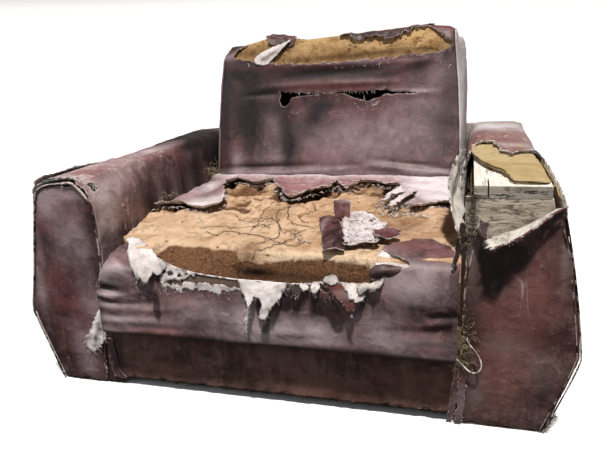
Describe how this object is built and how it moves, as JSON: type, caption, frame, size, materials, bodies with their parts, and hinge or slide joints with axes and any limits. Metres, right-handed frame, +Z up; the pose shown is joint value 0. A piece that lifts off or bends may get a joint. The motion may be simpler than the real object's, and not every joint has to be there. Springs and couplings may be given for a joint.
{
  "type": "torn sofa",
  "caption": "Low two-seat vinyl sofa with six-sided box arms and a raked back; torn covers bare its foam, arm board and canvas backing.",
  "frame": {"origin": "on the floor under the middle of the sofa's box", "axes": "+X to the sitter's left as seen from the front (right in the front view), +Y to the back, +Z up; the seat faces -Y"},
  "size_m": [1.276, 0.908, 0.834],
  "materials": {
    "vinyl": "dark maroon vinyl, dusty, worn and torn",
    "faded_vinyl": "vinyl faded to a pale lilac grey",
    "canvas_backing": "off-white cotton backing of the vinyl, frayed",
    "welt": "reddish brown piping",
    "foam": "aged yellow-orange open-cell foam, brown where it is shaded and dirty",
    "weathered_wood": "bare grey weathered plank",
    "board_wood": "olive-brown board with swirling grain",
    "frame_wood": "plain sawn softwood",
    "hardboard": "brown hardboard",
    "webbing": "jute webbing",
    "hessian": "open-weave hessian",
    "dust_cloth": "thin black dust cloth",
    "filler_cord": "white cotton piping cord"
  },
  "bodies": {
    "root": {"apron_board": "frame_wood", "apron_cover": "vinyl", "arm_bottom_rail_left": "frame_wood", "arm_bottom_rail_right": "frame_wood", "arm_cover_left": "vinyl", "arm_cover_right": "vinyl", "arm_facing_left": "vinyl", "arm_facing_right": "vinyl", "arm_front_board_left": "board_wood", "arm_front_board_right": "board_wood", "arm_inner_panel_left": "hardboard", "arm_inner_panel_right": "hardboard", "arm_outer_lower_panel_left": "hardboard", "arm_outer_lower_panel_right": "hardboard", "arm_outer_upper_panel_left": "hardboard", "arm_outer_upper_panel_right": "hardboard", "arm_rear_board_left": "board_wood", "arm_rear_board_right": "board_wood", "arm_side_pad_left": "foam", "arm_side_pad_right": "foam", "arm_top_board_left": "weathered_wood", "arm_top_board_right": "weathered_wood", "arm_top_foam_left": "foam", "arm_top_foam_right": "foam", "arm_welt_left": "welt", "arm_welt_right_inner": "welt", "arm_welt_right_outer": "welt", "back_foam": "foam", "back_front_cover": "vinyl", "back_hessian": "hessian", "back_lower_rail": "frame_wood", "back_post_left": "frame_wood", "back_post_right": "frame_wood", "back_strap_1": "webbing", "back_strap_2": "webbing", "back_top_flap": "canvas_backing", "back_top_rail": "frame_wood", "dust_cover": "dust_cloth", "filler_cord": "filler_cord", "front_corner_post_left": "frame_wood", "front_corner_post_right": "frame_wood", "front_ledge": "frame_wood", "front_rail": "frame_wood", "rear_corner_post_left": "frame_wood", "rear_corner_post_right": "frame_wood", "rear_cover": "vinyl", "rear_lower_rail": "frame_wood", "rear_rail": "frame_wood", "seat_cover_scrap": "faded_vinyl", "seat_foam": "foam", "seat_front_band": "vinyl", "seat_hessian": "hessian", "seat_rear_strip": "faded_vinyl", "seat_strap_1": "webbing", "seat_strap_2": "webbing", "seat_strap_3": "webbing", "seat_strap_4": "webbing", "side_rail_left": "frame_wood", "side_rail_right": "frame_wood"}
  },
  "joints": []
}
